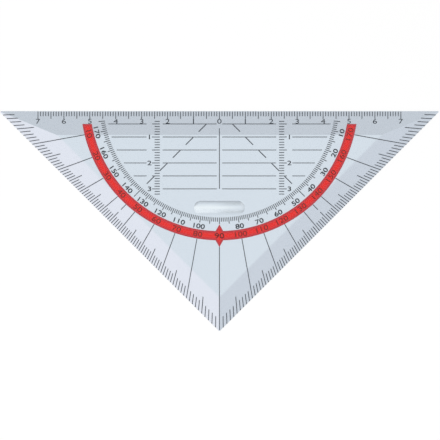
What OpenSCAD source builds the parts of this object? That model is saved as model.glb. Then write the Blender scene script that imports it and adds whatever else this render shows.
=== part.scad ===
// Protractor set square: a clear moulded 45-45-90 plate whose scales are stamped into its
// underside as shallow grooves, with black and red ink lying in the grooves.
// Millimetres. The origin is the zero mark: the middle of the long edge, on the face that lies
// on the paper. The plate spreads towards -Y, and +Z points up through the bevelled face.

/* [Plate] */
// Length of the long edge between its sharp corners
long_edge = 170; // [150:1:220]
// Thickness inside the three bevels
plate_t = 2; // [1.6:0.1:3]
// Thickness at the rim
rim_t = 1; // [0.7:0.1:1.4]
// Width of each bevel, square to its edge
bevel_w = 9.5; // [7:0.5:12]
// Width of the soft shoulder where a bevel turns into the flat top
shoulder_w = 1.6; // [0.8:0.1:3]
// Radius of the three corners, seen from above
corner_r = 0.3; // [0.2:0.05:1]
// Chamfer that breaks the top edge of the rim
rim_chamfer = 0.15; // [0.1:0.05:0.3]

/* [Finger grip] */
// Length of the moulded grip
grip_l = 19.8; // [12:0.2:30]
// Width of the moulded grip
grip_w = 5.4; // [4:0.2:7]
// Height of the grip's crown above the flat top
grip_h = 0.9; // [0.5:0.1:1.4]
// Gap between the grip and the degree marks of the ring
grip_clear = 1.1; // [0.5:0.02:3]

/* [Stamped marks] */
// Width of the scales' marks, the rays and the centre line
line_w = 0.28; // [0.2:0.02:0.34]
// Depth of the grooves in the underside
groove_depth = 0.12; // [0.08:0.01:0.2]
// How far the ink stays back from the underside
ink_recess = 0.02; // [0.01:0.01:0.04]
// Clearance between ink and groove wall
ink_fit = 0.01; // [0.005:0.005:0.02]
// Gap left between inks of different marks where they meet
ink_gap = 0.04; // [0.03:0.01:0.08]
// Distance that the ink of the marks on the legs stays back from the rim
rim_inset = 0.05; // [0.02:0.01:0.1]

/* [Ruler on the long edge] */
// Distance between neighbouring marks of the ruler and of the depth scales
mark_pitch = 1; // [1:0.05:1.1]
// Least bare length left between the ruler's last mark and each corner
ruler_margin = 14; // [12:1:20]
// Distance from the edge at which the ruler's marks start
ruler_start = 0.25; // [0.1:0.05:0.5]
// Distance from the edge at which millimetre marks end
mm_end = 2; // [1.6:0.1:2.4]
// Distance from the edge at which half-centimetre marks end
half_cm_end = 3; // [2.5:0.1:3]
// Distance from the edge at which centimetre marks end
cm_end = 3.1; // [3:0.1:3.5]

/* [Parallel lines] */
// Width of a parallel line
parallel_w = 0.25; // [0.2:0.01:0.34]
// Half of the gap in each line round the centre line
centre_gap = 1.05; // [0.6:0.05:2]
// Distance from the long edge at which the centre line starts
centre_start = 6.7; // [5.5:0.1:8]

/* [Depth scales] */
// Distance of each depth scale from the centre line
depth_x = 23; // [21.5:0.5:26]
// Length of a millimetre mark on a depth scale
depth_mm_l = 2; // [1:0.1:2.5]
// Length of a half-centimetre mark on a depth scale
depth_cm_l = 3; // [2.6:0.1:4]
// First mark of a depth scale, counted from the long edge
depth_first = 4; // [4:1:10]
// Gap between the parallel lines and the inner side of a depth scale
depth_gap = 1.1; // [0.5:0.1:2]
// Room for the figures outside a depth scale
figure_gap = 2.1; // [1.5:0.1:3]
// Sideways reach of one dash of the 45 degree lines
dash_reach = 3; // [2:0.1:4]
// Width of a dash of the 45 degree lines
dash_w = 0.34; // [0.2:0.02:0.5]

/* [Degree ring] */
// Distance of the ring's centre beyond the long edge
ring_offset = 3.74; // [3:0.02:4.5]
// Distance of the red band from each leg
band_clear = 9.15; // [8:0.05:12]
// Width of the red band
band_w = 3.6; // [3:0.1:4]
// Distance of the band's two ends from the long edge
band_end = 5; // [4:0.1:7]
// Distance from the start of the ring's degree marks to the red band
ring_gap = 5.2; // [4.8:0.1:6]
// Length of a one degree mark on the ring
ring_mark_l = 1.6; // [1.2:0.1:2]
// Length of a five degree mark on the ring
ring_five_l = 2.5; // [2.2:0.1:3]
// Gap between the parallel lines and the start of the ring's marks
ring_clear = 1; // [0.5:0.1:2]
// Gap between the long 45 degree ring mark and the red band
diagonal_clear = 0.7; // [0.3:0.1:1.5]
// Reach of the 45 degree mark outside the red band
diagonal_reach = 2.8; // [2:0.1:3.4]
// Half height of the red index diamond
diamond_h = 4.4; // [3.8:0.1:5]
// Half width of the red index diamond
diamond_w = 2.5; // [1.8:0.1:3]

/* [Degree marks on the legs] */
// Depth of a one degree mark, square to the leg
leg_mark = 3.2; // [2.6:0.1:3.8]
// Depth of a five degree mark, square to the leg
leg_five = 5.1; // [4.2:0.1:5.3]
// Distance from the legs at which the ninety degree line stops
apex_stop = 0.4; // [0.3:0.1:1]

/* [Hidden] */
$fn = 96;

clear_tone = [0.83, 0.87, 0.91, 0.6];
black_tone = [0.2, 0.23, 0.27];
red_tone = [0.91, 0.2, 0.18];

// The legs stand at 45 degrees, so the apex is half the long edge away from it.
half_edge = long_edge / 2;
leg_dist = half_edge / sqrt(2);
// Room that a cut takes past a face it has to break through.
overcut = 1;
// Marks of the ruler on each side of zero: as many whole tens as the margin allows.
ruler_marks = 10 * floor((half_edge - ruler_margin) / (10 * mark_pitch));
// Radii of the ring's parts: the band keeps its distance from the legs, and the rest follows it.
band_out = (half_edge + ring_offset) / sqrt(2) - band_clear;
band_r = band_out - band_w;
ring_r = band_r - ring_gap;
// Where the parallel lines stop beside a depth scale and beside the ring.
inner_line_end = depth_x - depth_gap;
outer_line_start = depth_x + depth_cm_l + figure_gap;
line_stop_r = ring_r - ring_clear;
// Last mark of a depth scale: the deepest whose outer end stays inside that radius.
depth_last = floor(
    (sqrt(pow(line_stop_r, 2) - pow(depth_x + depth_mm_l, 2)) - ring_offset) / mark_pitch);
// Parallel lines: one for each five marks of depth.
line_step = 5 * mark_pitch;
line_count = floor(depth_last / 5);
// Dashes of a 45 degree line: one from each parallel line, as long as its end stays inside.
dash_end = (sqrt(2 * pow(line_stop_r, 2) - pow(ring_offset, 2)) - ring_offset) / 2;
dash_count = floor((dash_end - dash_reach) / line_step);
// Middle of the red index diamond, on the middle of the band.
diamond_y = -(band_r + band_w / 2 - ring_offset);
// Distance of the grip's middle from the long edge, and the radius of its crown's segment.
grip_y = ring_r - ring_offset - grip_clear - grip_w / 2;
crown_r = (grip_w * grip_w / 4 + grip_h * grip_h) / (2 * grip_h);
// Number of short faces that make the soft shoulder.
shoulder_steps = 6;

// Direction of the ray at a degrees, counted from the left end of the long edge.
function ray(a) = [-cos(a), -sin(a)];
// Distance along the ray at a degrees to the circle of radius r about the ring's centre.
function ring_reach(a, r) = sqrt(r * r - pow(ring_offset * cos(a), 2)) - ring_offset * sin(a);
// Outward direction of the leg that the ray at a degrees meets.
function leg_normal(a) = (a < 90 ? [-1, -1] : [1, -1]) / sqrt(2);
// Point on a line beside the ray at a degrees, s to its side and v inside the leg.
function leg_point(a, s, v) =
    let (d = ray(a), n = [-d.y, d.x], m = leg_normal(a))
    s * n + (leg_dist - v - s * (n * m)) / (d * m) * d;
// Degrees from first to last in steps, without every one that a skipped step divides.
function degrees(first, last, step, skip) = [for (a = [first : step : last]) if (a % skip != 0) a];

// A straight mark along the ray at a degrees between two distances from the zero mark.
module ray_mark(a, from, to, grow) {
    rotate(180 + a)
        translate([from - grow, -line_w / 2 - grow])
            square([to - from + 2 * grow, line_w + 2 * grow]);
}

// Where a mark stops at the rim: ink stays just inside it, a groove runs out through it.
function rim_stop(grow) = grow > 0 ? -overcut : rim_inset;

// A mark on a leg at a degrees, its ends parallel to the leg, reaching v_in inside it.
module leg_tick(a, v_in, grow) {
    side = line_w / 2 + grow;
    polygon([leg_point(a, -side, rim_stop(grow)), leg_point(a, side, rim_stop(grow)),
        leg_point(a, side, v_in + grow), leg_point(a, -side, v_in + grow)]);
}

// A line along the ray at a degrees, from the middle of the red band to the leg.
module leg_ray(a, grow) {
    side = line_w / 2 + grow;
    start = ring_reach(a, band_r + band_w / 2) * ray(a);
    across = [sin(a), -cos(a)] * side;
    polygon([start - across, start + across,
        leg_point(a, side, rim_stop(grow)), leg_point(a, -side, rim_stop(grow))]);
}

// A mark square to the long edge at x, between two distances from that edge.
module upright_mark(x, from, to, grow) {
    translate([x - line_w / 2 - grow, -to - grow])
        square([line_w + 2 * grow, to - from + 2 * grow]);
}

// A mark of width w parallel to the long edge at distance y, from x0 to x1.
module level_mark(y, x0, x1, w, grow) {
    translate([x0 - grow, -y - w / 2 - grow])
        square([x1 - x0 + 2 * grow, w + 2 * grow]);
}

// A disc of radius r about the ring's centre.
module ring_disc(r) {
    translate([0, ring_offset]) circle(r, $fn = 360);
}

module millimetre_outline(grow) {
    for (i = [-ruler_marks : ruler_marks])
        if (i % 5 != 0) upright_mark(i * mark_pitch, ruler_start, mm_end, grow);
}

module half_centimetre_outline(grow) {
    for (i = [5 - ruler_marks : 10 : ruler_marks - 5])
        upright_mark(i * mark_pitch, ruler_start, half_cm_end, grow);
}

module centimetre_outline(grow) {
    for (i = [-ruler_marks : 10 : ruler_marks])
        upright_mark(i * mark_pitch, ruler_start, cm_end, grow);
}

// The parallel lines between the centre line and the depth scales.
module inner_lines_outline(grow) {
    intersection() {
        for (k = [1 : line_count])
            for (side = [0, 1])
                mirror([side, 0])
                    level_mark(k * line_step, centre_gap, inner_line_end, parallel_w, grow);
        ring_disc(line_stop_r + grow);
    }
}

// The parallel lines from beside the depth scales' figures to the ring. The last one has none.
module outer_lines_outline(grow) {
    intersection() {
        for (k = [1 : line_count - 1])
            for (side = [0, 1])
                mirror([side, 0])
                    level_mark(k * line_step, outer_line_start, line_stop_r, parallel_w, grow);
        ring_disc(line_stop_r + grow);
    }
}

module centre_outline(grow) {
    upright_mark(0, centre_start, line_count * line_step, grow);
}

// The depth scale to the right of the centre line.
module depth_outline(grow) {
    intersection() {
        for (i = [ceil(depth_first) : depth_last]) {
            mark_l = i % 5 == 0 ? depth_cm_l : depth_mm_l;
            level_mark(i * mark_pitch, depth_x, depth_x + mark_l, line_w, grow);
        }
        ring_disc(line_stop_r + grow);
    }
}

// The dashed 45 degree line to the right of the centre line. Each dash starts on a parallel line.
module dashes_outline(grow) {
    intersection() {
        for (k = [1 : dash_count])
            translate([k * line_step, -k * line_step])
                rotate(-45)
                    translate([-grow, -dash_w / 2 - grow])
                        square([dash_reach * sqrt(2) + 2 * grow, dash_w + 2 * grow]);
        ring_disc(line_stop_r + grow);
    }
}

module ring_degree_outline(grow) {
    for (a = degrees(5, 175, 1, 5))
        ray_mark(a, ring_reach(a, ring_r), ring_reach(a, ring_r + ring_mark_l), grow);
}

module ring_five_outline(grow) {
    for (a = [5 : 5 : 175])
        if (a % 90 != 45)
            ray_mark(a, ring_reach(a, ring_r), ring_reach(a, ring_r + ring_five_l), grow);
}

// The long 45 degree marks of the ring.
module ring_diagonal_outline(grow) {
    for (a = [45, 135])
        ray_mark(a, ring_reach(a, ring_r), ring_reach(a, band_r - diagonal_clear), grow);
}

// The 45 degree marks outside the band: one from its middle outwards and one on each leg.
module leg_diagonal_outline(grow) {
    for (a = [45, 135]) {
        from = ring_reach(a, band_r + band_w / 2);
        ray_mark(a, from, ring_reach(a, band_out) + diagonal_reach, grow);
        leg_tick(a, leg_five, grow);
    }
}

// The one degree marks of the left leg.
module leg_degree_outline(grow) {
    for (a = degrees(1, 89, 1, 5)) leg_tick(a, leg_mark, grow);
}

// The five degree marks of the left leg, between the rays.
module leg_five_outline(grow) {
    for (a = degrees(5, 85, 5, 10))
        if (a != 45) leg_tick(a, leg_five, grow);
}

module rays_outline(grow) {
    for (a = degrees(10, 170, 10, 90)) leg_ray(a, grow);
}

module ninety_outline(grow) {
    upright_mark(0, -diamond_y, half_edge - apex_stop * sqrt(2), grow);
}

// The red index diamond on the band at ninety degrees.
module diamond_outline(grow) {
    translate([0, diamond_y])
        polygon([[0, -diamond_h - grow], [diamond_w + grow, 0], [0, diamond_h + grow],
            [-diamond_w - grow, 0]]);
}

// The red band about the ring's centre, cut level at both ends, with its diamond.
module band_outline(grow) {
    difference() {
        ring_disc(band_out + grow);
        ring_disc(band_r - grow);
        translate([-2 * band_out, -band_end + grow]) square(4 * band_out);
    }
    diamond_outline(grow);
}

// Marks outside the red band, clear of its ink.
module outside_band() {
    difference() {
        children();
        ring_disc(band_out + ink_gap);
        diamond_outline(ink_gap);
    }
}

// Marks clear of the ink of the parallel lines and the right depth scale, which fills the
// crossings.
module clear_of_lines() {
    difference() {
        children();
        inner_lines_outline(ink_gap);
        outer_lines_outline(ink_gap);
        depth_outline(ink_gap);
    }
}

// Every mark at once: the grooves of the plate.
module all_outlines(grow) {
    millimetre_outline(grow);
    half_centimetre_outline(grow);
    centimetre_outline(grow);
    inner_lines_outline(grow);
    outer_lines_outline(grow);
    centre_outline(grow);
    for (side = [0, 1]) mirror([side, 0]) {
        depth_outline(grow);
        dashes_outline(grow);
        leg_degree_outline(grow);
        leg_five_outline(grow);
    }
    ring_degree_outline(grow);
    ring_five_outline(grow);
    ring_diagonal_outline(grow);
    leg_diagonal_outline(grow);
    rays_outline(grow);
    ninety_outline(grow);
    band_outline(grow);
}

// Ink lying in the grooves, back from the underside and up against their floor.
module ink(tone) {
    color(tone)
        translate([0, 0, ink_recess])
            linear_extrude(groove_depth - ink_recess)
                children();
}

// Section of the plate square to one of its edges: x is the distance inside that edge.
module edge_section() {
    slope = atan((plate_t - rim_t) / bevel_w);
    shoulder_r = shoulder_w / 2 / tan(slope / 2);
    polygon(concat(
        [[long_edge, 0], [0, 0], [0, rim_t - rim_chamfer],
            [rim_chamfer, rim_t + rim_chamfer * tan(slope)]],
        [for (i = [0 : shoulder_steps])
            let (a = slope * (1 - i / shoulder_steps))
            [bevel_w + shoulder_w / 2 - shoulder_r * sin(a), plate_t - shoulder_r * (1 - cos(a))]],
        [[long_edge, plate_t]]));
}

// Everything on the inner side of the long edge, with that edge's bevel.
module edge_prism() {
    translate([-long_edge, 0, 0])
        rotate([90, 0, 90])
            linear_extrude(2 * long_edge)
                mirror([1, 0])
                    edge_section();
}

// The three-cornered outline with its small corner radii.
module plate_outline() {
    inset_x = half_edge - corner_r / tan(22.5);
    corners = [[-inset_x, -corner_r], [inset_x, -corner_r], [0, corner_r * sqrt(2) - half_edge]];
    for (c = corners) translate(c) circle(corner_r);
    side = corner_r / sqrt(2);
    polygon([[-inset_x, 0], [inset_x, 0],
        corners[1] + [side, -side], corners[2] + [side, -side],
        corners[2] + [-side, -side], corners[0] + [-side, -side]]);
}

// The grip: a straight crowned bar with two spherical ends, moulded in one with the plate.
module grip() {
    module crown() {
        intersection() {
            translate([0, grip_h - crown_r]) circle(crown_r);
            translate([-grip_w, -overcut / 2]) square([2 * grip_w, grip_h + overcut]);
        }
    }
    bar_l = grip_l - grip_w;
    translate([0, -grip_y, plate_t]) {
        rotate([90, 0, 90])
            translate([0, 0, -bar_l / 2])
                linear_extrude(bar_l)
                    crown();
        for (side = [0, 1])
            mirror([side, 0, 0])
                translate([bar_l / 2, 0, 0])
                    rotate(-90)
                        rotate_extrude(angle = 180)
                            intersection() {
                                crown();
                                translate([0, -overcut]) square(2 * grip_w);
                            }
    }
}

// The clear plate: three edge prisms meeting in a triangle, the grip, and the stamped grooves.
module plate() {
    color(clear_tone)
        difference() {
            union() {
                intersection() {
                    linear_extrude(plate_t) plate_outline();
                    edge_prism();
                    translate([-half_edge, 0, 0]) rotate(135) edge_prism();
                    translate([half_edge, 0, 0]) rotate(-135) edge_prism();
                }
                grip();
            }
            translate([0, 0, -overcut])
                linear_extrude(overcut + groove_depth)
                    all_outlines(ink_fit);
        }
}

module millimetre_marks() {
    ink(black_tone) millimetre_outline(0);
}

module half_centimetre_marks() {
    ink(black_tone) half_centimetre_outline(0);
}

module centimetre_marks() {
    ink(black_tone) centimetre_outline(0);
}

module inner_parallel_lines() {
    ink(black_tone) inner_lines_outline(0);
}

module outer_parallel_lines() {
    ink(black_tone) outer_lines_outline(0);
}

module centre_line() {
    ink(black_tone) centre_outline(0);
}

module left_depth_scale() {
    ink(black_tone) mirror([1, 0]) depth_outline(0);
}

module right_depth_scale() {
    ink(black_tone) depth_outline(0);
}

module left_diagonal_dashes() {
    ink(black_tone) mirror([1, 0]) clear_of_lines() dashes_outline(0);
}

module right_diagonal_dashes() {
    ink(black_tone) clear_of_lines() dashes_outline(0);
}

module ring_degree_marks() {
    ink(black_tone) ring_degree_outline(0);
}

module ring_five_degree_marks() {
    ink(black_tone)
        difference() {
            ring_five_outline(0);
            diamond_outline(ink_gap);
        }
}

module forty_five_degree_lines() {
    ink(black_tone) {
        ring_diagonal_outline(0);
        outside_band() leg_diagonal_outline(0);
    }
}

module left_leg_degree_marks() {
    ink(black_tone) outside_band() leg_degree_outline(0);
}

module right_leg_degree_marks() {
    ink(black_tone) mirror([1, 0]) outside_band() leg_degree_outline(0);
}

module left_leg_five_degree_marks() {
    ink(black_tone) outside_band() leg_five_outline(0);
}

module right_leg_five_degree_marks() {
    ink(black_tone) mirror([1, 0]) outside_band() leg_five_outline(0);
}

module ten_degree_rays() {
    ink(black_tone) outside_band() rays_outline(0);
}

module ninety_degree_line() {
    ink(black_tone) outside_band() ninety_outline(0);
}

module red_band() {
    ink(red_tone) band_outline(0);
}

plate();
millimetre_marks();
half_centimetre_marks();
centimetre_marks();
inner_parallel_lines();
outer_parallel_lines();
centre_line();
left_depth_scale();
right_depth_scale();
left_diagonal_dashes();
right_diagonal_dashes();
ring_degree_marks();
ring_five_degree_marks();
forty_five_degree_lines();
left_leg_degree_marks();
right_leg_degree_marks();
left_leg_five_degree_marks();
right_leg_five_degree_marks();
ten_degree_rays();
ninety_degree_line();
red_band();
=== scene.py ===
# %% [markdown]
# # Dressing a protractor set square
# A protractor set square is a clear plastic triangle with a ruler, parallel lines and two scales
# of degrees stamped into its underside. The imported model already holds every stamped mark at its
# real size. This lesson gives it its looks: clear moulded acrylic, two inks, printed figures, a
# white table and soft light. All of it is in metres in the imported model's own frame: the zero
# mark is the origin, the long edge lies along X, and +Z points up out of the table.

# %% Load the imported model
import math

import bmesh
import bpy
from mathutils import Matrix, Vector


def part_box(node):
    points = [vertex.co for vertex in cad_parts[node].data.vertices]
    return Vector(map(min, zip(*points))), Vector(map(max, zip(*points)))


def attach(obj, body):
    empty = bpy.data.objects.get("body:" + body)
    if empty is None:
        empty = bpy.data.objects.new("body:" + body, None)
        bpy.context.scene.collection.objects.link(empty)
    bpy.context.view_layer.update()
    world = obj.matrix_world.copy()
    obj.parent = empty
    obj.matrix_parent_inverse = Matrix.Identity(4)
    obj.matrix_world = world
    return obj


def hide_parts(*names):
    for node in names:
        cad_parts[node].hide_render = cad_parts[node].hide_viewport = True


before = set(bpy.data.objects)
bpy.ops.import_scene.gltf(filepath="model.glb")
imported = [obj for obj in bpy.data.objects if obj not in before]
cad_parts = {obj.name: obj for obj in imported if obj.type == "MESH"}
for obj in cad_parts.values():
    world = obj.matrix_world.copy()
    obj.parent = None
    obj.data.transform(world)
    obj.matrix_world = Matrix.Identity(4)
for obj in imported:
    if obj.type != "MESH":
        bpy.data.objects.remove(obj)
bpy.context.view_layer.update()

# %% [markdown]
# ## Sizes
# Blender works in metres and a drawing tool is made in millimetres, so one factor turns one into
# the other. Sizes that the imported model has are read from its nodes. The few that can't be read
# from a box, such as the width of a bevel, are named here or where they are first needed. Two
# points closer than SAME are one.

# %% Sizes of the plate
MM = 0.001
SAME = 0.001 * MM
RIM_T = 1.0 * MM
BEVEL_W = 9.5 * MM
CORNER_R = 0.3 * MM
GRIP_H = 0.9 * MM
GRIP_W = 5.4 * MM
GRIP_L = 19.8 * MM
GRIP_Y = -37.26 * MM

plate_low, plate_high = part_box("plate")
plate_t = plate_high.z - GRIP_H
ink_low, ink_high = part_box("centre_line")
# The corners at both ends of the long edge are 45 degrees sharp. Rounding one to CORNER_R takes
# this much off its tip, so the sharp tip lies that much further out than the box says.
half_edge = plate_high.x + CORNER_R * (1 / math.tan(math.radians(22.5)) - 1)
print(f"Half edge {half_edge / MM:.2f} mm, plate {plate_t / MM:.2f} mm, ink up to {ink_high.z / MM:.2f} mm")

# %% [markdown]
# An outline is kept as its sharp corners. Each has a place and two directions, in degrees: the
# ones that the edges before and after it face. Later steps round the corners off as they need.

# %% Corners of the plate and of the finger grip
PLATE_CORNERS = [
    (Vector((-half_edge, 0, 0)), 90, 225),
    (Vector((0, -half_edge, 0)), 225, 315),
    (Vector((half_edge, 0, 0)), 315, 450),
]
grip_end = GRIP_L / 2
grip_side = GRIP_W / 2
GRIP_CORNERS = [
    (Vector((-grip_end, GRIP_Y + grip_side, 0)), 90, 180),
    (Vector((-grip_end, GRIP_Y - grip_side, 0)), 180, 270),
    (Vector((grip_end, GRIP_Y - grip_side, 0)), 270, 360),
    (Vector((grip_end, GRIP_Y + grip_side, 0)), 360, 450),
]
print("Corners:", len(PLATE_CORNERS), "on the plate,", len(GRIP_CORNERS), "on the grip")

# %% [markdown]
# ## Tools
# Colours are written the way a colour picker shows them, as sRGB hex values. Blender's shaders
# count light, so one function turns them to linear values. A second small function adds a node,
# sets it and links it, which keeps a material or a tree of Geometry Nodes short enough to read as
# a recipe. It serves every kind of node. Sockets that share a name go by their number. In a Mix
# node, inputs 2 and 3 are the two numbers, 4 and 5 the vectors, 6 and 7 the colours, and its
# outputs 0, 1 and 2 are the number, the vector and the colour.

# %% Helpers for objects, colours and nodes
def make_object(name, mesh):
    """Links a new object for the mesh to the scene."""
    made = bpy.data.objects.new(name, mesh)
    bpy.context.scene.collection.objects.link(made)
    return made


def to_linear(code):
    """Linear red, green, blue and an alpha of 1 for an sRGB hex colour such as d4dee8."""
    levels = [int(code[i:i + 2], 16) / 255 for i in (0, 2, 4)]
    return [c / 12.92 if c <= 0.04045 else ((c + 0.055) / 1.055) ** 2.4 for c in levels] + [1]


def add_node(tree, kind, inputs=None, **settings):
    """Adds a node. Its inputs, by name or number, take values or other nodes' outputs."""
    node = tree.nodes.new(kind)
    for name, value in settings.items():
        setattr(node, name, value)
    for socket, value in (inputs or {}).items():
        if isinstance(value, bpy.types.NodeSocket):
            tree.links.new(value, node.inputs[socket])
        else:
            node.inputs[socket].default_value = value
    return node


def new_material(name):
    """An empty material and its node tree."""
    material = bpy.data.materials.new(name)
    material.use_nodes = True
    material.node_tree.nodes.clear()
    return material, material.node_tree


print("Mid grey in linear light:", round(to_linear("808080")[0], 3))

# %% [markdown]
# A tree of Geometry Nodes gets its shape from a carrier: a mesh of loose points, each with a few
# named values. Its other inputs are found by the identifier of their socket, because that is what
# a modifier stores them under. Its result is kept as a plain mesh and the carrier is deleted.

# %% Helpers for Geometry Nodes
def new_tree(name, **sockets):
    """A node group with the inputs named, and one output called Made."""
    tree = bpy.data.node_groups.new(name, "GeometryNodeTree")
    for title, kind in sockets.items():
        tree.interface.new_socket(title.replace("_", " "), in_out="INPUT", socket_type="NodeSocket" + kind)
    tree.interface.new_socket("Made", in_out="OUTPUT", socket_type="NodeSocketGeometry")
    return tree, add_node(tree, "NodeGroupInput").outputs


def point_mesh(name, places, **values):
    """A mesh of loose points. Each keyword names an attribute: its kind, and a value per point."""
    mesh = bpy.data.meshes.new(name)
    mesh.from_pydata(places, [], [])
    for title, (kind, column) in values.items():
        attribute = mesh.attributes.new(title, kind, "POINT")
        attribute.data.foreach_set("value", column)
    return mesh


def grow(name, carrier_mesh, tree, **inputs):
    """The plain mesh that a tree makes from a carrier mesh."""
    carrier = make_object(name + "_carrier", carrier_mesh)
    modifier = carrier.modifiers.new(tree.name, "NODES")
    modifier.node_group = tree
    sockets = {s.name: s.identifier for s in tree.interface.items_tree}
    for title, value in inputs.items():
        modifier[sockets[title.replace("_", " ")]] = value
    seen = carrier.evaluated_get(bpy.context.evaluated_depsgraph_get())
    mesh = bpy.data.meshes.new_from_object(seen)
    bpy.data.objects.remove(carrier)
    mesh.name = name
    return mesh


print("Helpers are ready")

# %% [markdown]
# ## Clear moulded acrylic
# Acrylic is the clearest of the common plastics: hard, glossy, with a refractive index of 1.49,
# so it mirrors about 4% of what it faces and bends what is behind it. A Principled shader with
# full transmission does both. Three things help it. Lamps don't reach through bent glass by the
# direct way that a renderer likes, so for shadow rays and diffuse rays the plastic is swapped for
# a plain see-through tint, and the ink inside is lit evenly. Seen from low down, light is caught
# between the two faces and on the real plate leaves by the rim, but a renderer gives up on it and
# shows black. So after a few bounces it is let straight out, a little dimmer for the way it has
# come. And no moulding is a perfect mirror: a faint slow wave in the normals makes its
# reflections swim a little.

# %% Waves of a polished moulding
WAVE_WIDTH = 9 * MM
WAVE_DEPTH = 0.02 * MM


def moulded_waves(tree):
    """The normal of a polished moulding, with waves far shallower than they are wide."""
    place = add_node(tree, "ShaderNodeTexCoord").outputs["Object"]
    waves = add_node(tree, "ShaderNodeTexNoise", {"Vector": place, "Scale": 1 / WAVE_WIDTH, "Detail": 1})
    height = waves.outputs["Fac"]
    bump = add_node(tree, "ShaderNodeBump", {"Height": height, "Distance": WAVE_DEPTH})
    return bump.outputs["Normal"]


print("Waves:", WAVE_DEPTH / MM, "mm deep,", WAVE_WIDTH / MM, "mm wide")

# %% [markdown]
# The shader asks each ray what kind it is and how many bounces lie behind it.

# %% Clear acrylic
ACRYLIC_IOR = 1.49
POLISH = 0.02
# The share of light that shadow and diffuse rays keep at each face, the number of bounces after
# which other light is let out, and the share that it keeps.
PASSED = 0.96
TRAPPED_AFTER = 3
TRAPPED_PASSED = 0.85
POLISHED_TINT = "fafbfd"


def clear_acrylic(name, tint):
    """Clear acrylic. tint is a function that gives its colour, as a value or a socket of the tree."""
    material, tree = new_material(name)
    colour = tint(tree)
    plastic = add_node(tree, "ShaderNodeBsdfPrincipled", {
        "Base Color": colour,
        "Roughness": POLISH,
        "IOR": ACRYLIC_IOR,
        "Transmission Weight": 1,
        "Normal": moulded_waves(tree),
    })
    ray = add_node(tree, "ShaderNodeLightPath").outputs
    unseen = add_node(tree, "ShaderNodeMath", {0: ray["Is Shadow Ray"], 1: ray["Is Diffuse Ray"]},
                      operation="MAXIMUM")
    trapped = add_node(tree, "ShaderNodeMath", {0: ray["Ray Depth"], 1: TRAPPED_AFTER - 0.5},
                       operation="GREATER_THAN")
    let_out = add_node(tree, "ShaderNodeMath", {0: unseen.outputs[0], 1: trapped.outputs[0]},
                       operation="MAXIMUM")
    passed = add_node(tree, "ShaderNodeMath", {
        0: unseen.outputs[0], 1: PASSED - TRAPPED_PASSED, 2: TRAPPED_PASSED}, operation="MULTIPLY_ADD")
    # Light crosses two faces on its way through, so each one takes the root of the colour.
    crossing = add_node(tree, "ShaderNodeGamma", {"Color": colour, "Gamma": 0.5})
    dimmed = add_node(tree, "ShaderNodeVectorMath", {0: crossing.outputs[0], "Scale": passed.outputs[0]},
                      operation="SCALE")
    straight = add_node(tree, "ShaderNodeBsdfTransparent", {"Color": dimmed.outputs[0]})
    mix = add_node(tree, "ShaderNodeMixShader", {
        0: let_out.outputs[0], 1: plastic.outputs[0], 2: straight.outputs[0]})
    add_node(tree, "ShaderNodeOutputMaterial", {"Surface": mix.outputs[0]})
    return material


polished = clear_acrylic("clear acrylic, polished", lambda tree: to_linear(POLISHED_TINT))
print("Made", polished.name)

# %% [markdown]
# Laid on white paper, the plate looks pale blue-grey, and each bevel has a tone of its own,
# because each wedge bends the view to another part of the room. A studio that shows this by
# refraction alone would need a dark and a bright side behind the table. Here the underside
# carries the bevels' tones as painted light and shade, lighter on the left leg and darker on the
# right leg and the long edge: it knows how far a point lies from each edge, so a bevel's colour
# starts at its ridges and fades over the soft shoulder, wherever the light comes from.

# %% Tones of the underside: painted light and shade of the bevels
FLAT_TONE = "c0d0de"
LEFT_LEG, RIGHT_LEG, LONG_EDGE = 225, 315, 90
# For each edge, by the direction that it faces: a corner on it, the tone of its bevel (painted
# light on the left leg, painted shade on the right leg and the long edge), the distance inside the
# edge at which the tone ends, and how far it fades to both sides of that.
BEVELS = [
    (LEFT_LEG, PLATE_CORNERS[0][0], "d3daea", 9.4 * MM, 0.6 * MM),
    (RIGHT_LEG, PLATE_CORNERS[2][0], "acb9c9", 9.4 * MM, 0.6 * MM),
    (LONG_EDGE, PLATE_CORNERS[0][0], "a1aebc", 9.22 * MM, 0.12 * MM),
]
RIDGE_SOFTNESS = 0.15 * MM


def edge_distances(tree):
    """Distance inside each edge of the plate, in the order of BEVELS."""
    place = add_node(tree, "ShaderNodeTexCoord").outputs["Object"]
    found = []
    for facing, corner, _, _, _ in BEVELS:
        away = Vector((math.cos(math.radians(facing)), math.sin(math.radians(facing)), 0))
        along = add_node(tree, "ShaderNodeVectorMath", {0: place, 1: away}, operation="DOT_PRODUCT")
        inside = add_node(tree, "ShaderNodeMath", {0: corner.dot(away), 1: along.outputs["Value"]},
                          operation="SUBTRACT")
        found.append(inside.outputs[0])
    return found


def painted_bevel_tones(tree):
    """The plate's tone, with a tone of its own below each bevel: painted light on the left leg, painted shade
    on the right leg and the long edge.
    """
    colour = to_linear(FLAT_TONE)
    distances = edge_distances(tree)
    for k, (_, _, tone, end, fade) in enumerate(BEVELS):
        others = [d for i, d in enumerate(distances) if i != k]
        nearest = add_node(tree, "ShaderNodeMath", {0: others[0], 1: others[1]}, operation="MINIMUM")
        lead = add_node(tree, "ShaderNodeMath", {0: nearest.outputs[0], 1: distances[k]},
                        operation="SUBTRACT")
        closest = add_node(tree, "ShaderNodeMapRange", {
            "Value": lead.outputs[0], "From Min": -RIDGE_SOFTNESS, "From Max": RIDGE_SOFTNESS},
            interpolation_type="SMOOTHSTEP")
        sloped = add_node(tree, "ShaderNodeMapRange", {
            "Value": distances[k], "From Min": end + fade, "From Max": end - fade},
            interpolation_type="SMOOTHSTEP")
        share = add_node(tree, "ShaderNodeMath", {0: closest.outputs[0], 1: sloped.outputs[0]},
                         operation="MULTIPLY")
        mix = add_node(tree, "ShaderNodeMix", {
            "Factor": share.outputs[0], 6: colour, 7: to_linear(tone)}, data_type="RGBA")
        colour = mix.outputs[2]
    return colour


print("Bevel tones:", [tone for _, _, tone, _, _ in BEVELS])
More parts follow.
